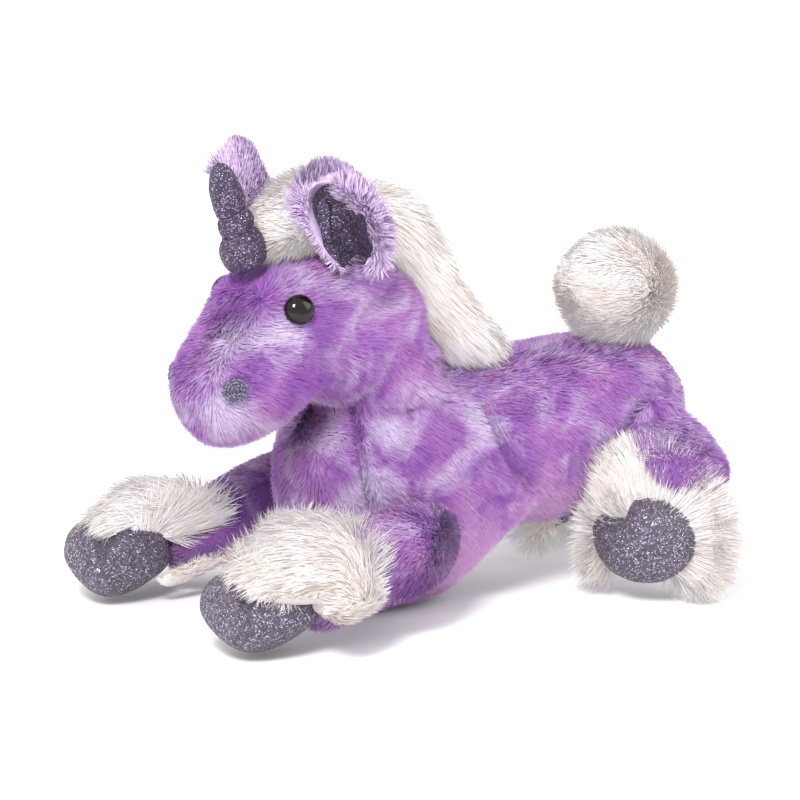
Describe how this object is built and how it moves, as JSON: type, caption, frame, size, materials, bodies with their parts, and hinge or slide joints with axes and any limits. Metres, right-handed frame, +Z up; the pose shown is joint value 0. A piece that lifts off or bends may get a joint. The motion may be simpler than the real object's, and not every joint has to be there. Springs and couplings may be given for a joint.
{
  "type": "plush unicorn",
  "caption": "Stuffed toy unicorn lying on its belly, with a long-pile mane, tail ball and leg cuffs, a tied three-bulb horn, padded hooves, and a neck, legs, ears, horn and tail that move.",
  "frame": {"origin": "on the surface it lies on, under the middle of its outer box", "axes": "+Z up, the head end towards -X, the unicorn's left side towards -Y"},
  "size_m": [0.292, 0.19, 0.2226],
  "materials": {
    "purple_plush": "short-pile plush, mottled in purple and lavender",
    "white_pile": "long silky pile",
    "hoof_glitter": "grey-lavender fabric with metallic sparkle",
    "dark_glitter": "dark purple-grey fabric with metallic sparkle",
    "grey_thread": "satin embroidery thread",
    "horn_thread": "dark tying thread",
    "eye_dome": "polished",
    "filling": "loose fibre"
  },
  "bodies": {
    "trunk": {"flank_left": "purple_plush", "flank_right": "purple_plush", "belly": "purple_plush", "trunk_stuffing": "filling"},
    "head": {"neck_left": "purple_plush", "neck_right": "purple_plush", "neck_stuffing": "filling", "cheek_left": "purple_plush", "cheek_right": "purple_plush", "forehead": "purple_plush", "chin": "purple_plush", "head_stuffing": "filling", "eye_left": "eye_dome", "eye_right": "eye_dome", "nostril_left": "grey_thread", "nostril_right": "grey_thread", "mane": "white_pile", "forelock": "white_pile"},
    "horn": {"horn_cover": "dark_glitter", "horn_stuffing": "filling", "horn_thread": "horn_thread"},
    "ear_left": {"ear_left": "purple_plush", "ear_lining_left": "dark_glitter"},
    "ear_right": {"ear_right": "purple_plush", "ear_lining_right": "dark_glitter"},
    "tail": {"tail_fur": "white_pile", "tail_stuffing": "filling"},
    "foreleg_left": {"foreleg_left_cover": "purple_plush", "foreleg_left_stuffing": "filling", "foreleg_left_fetlock_fur": "white_pile", "foreleg_left_hoof_upper": "hoof_glitter", "foreleg_left_hoof_sole": "hoof_glitter", "foreleg_left_hoof_stuffing": "filling"},
    "foreleg_right": {"foreleg_right_cover": "purple_plush", "foreleg_right_stuffing": "filling", "foreleg_right_fetlock_fur": "white_pile", "foreleg_right_hoof_upper": "hoof_glitter", "foreleg_right_hoof_sole": "hoof_glitter", "foreleg_right_hoof_stuffing": "filling"},
    "hindleg_left": {"hindleg_left_cover": "purple_plush", "hindleg_left_stuffing": "filling", "hindleg_left_fetlock_fur": "white_pile", "hindleg_left_hoof_upper": "hoof_glitter", "hindleg_left_hoof_sole": "hoof_glitter", "hindleg_left_hoof_stuffing": "filling"},
    "hindleg_right": {"hindleg_right_cover": "purple_plush", "hindleg_right_stuffing": "filling", "hindleg_right_fetlock_fur": "white_pile", "hindleg_right_hoof_upper": "hoof_glitter", "hindleg_right_hoof_sole": "hoof_glitter", "hindleg_right_hoof_stuffing": "filling"}
  },
  "joints": [
    {"name": "neck_turn", "type": "hinge", "parent": "trunk", "child": "head", "pos_m": [-0.022, 0, 0.117], "axis": [0, 0, 1], "range_deg": [-25, 25], "stiffness_Nm_per_rad": 0.2},
    {"name": "horn_flex", "type": "hinge", "parent": "head", "child": "horn", "pos_m": [-0.08807, -0.01587, 0.173], "axis": [-0.2588, 0.9659, 0], "range_deg": [-14, 14], "stiffness_Nm_per_rad": 0.03},
    {"name": "ear_left_flex", "type": "hinge", "parent": "head", "child": "ear_left", "pos_m": [-0.04393, -0.02992, 0.1756], "axis": [-0.8536, 0.5209, 0.0003], "range_deg": [-20, 20], "stiffness_Nm_per_rad": 0.02},
    {"name": "ear_right_flex", "type": "hinge", "parent": "head", "child": "ear_right", "pos_m": [-0.05687, 0.01837, 0.1756], "axis": [0.4788, 0.8779, -0.0003], "range_deg": [-20, 20], "stiffness_Nm_per_rad": 0.02},
    {"name": "foreleg_left_swing", "type": "hinge", "parent": "trunk", "child": "foreleg_left", "pos_m": [-0.025, -0.059, 0.043], "axis": [0, 1, 0], "range_deg": [-30, 20], "stiffness_Nm_per_rad": 0.5},
    {"name": "foreleg_right_swing", "type": "hinge", "parent": "trunk", "child": "foreleg_right", "pos_m": [-0.025, 0.059, 0.043], "axis": [0, 1, 0], "range_deg": [-30, 20], "stiffness_Nm_per_rad": 0.5},
    {"name": "hindleg_left_swing", "type": "hinge", "parent": "trunk", "child": "hindleg_left", "pos_m": [0.11, -0.05, 0.082], "axis": [0, 1, 0], "range_deg": [-30, 15], "stiffness_Nm_per_rad": 0.5},
    {"name": "hindleg_right_swing", "type": "hinge", "parent": "trunk", "child": "hindleg_right", "pos_m": [0.11, 0.05, 0.082], "axis": [0, 1, 0], "range_deg": [-30, 15], "stiffness_Nm_per_rad": 0.5},
    {"name": "tail_swing", "type": "hinge", "parent": "trunk", "child": "tail", "pos_m": [0.117, 0, 0.126], "axis": [0, 1, 0], "range_deg": [-15, 15], "stiffness_Nm_per_rad": 0.2}
  ]
}
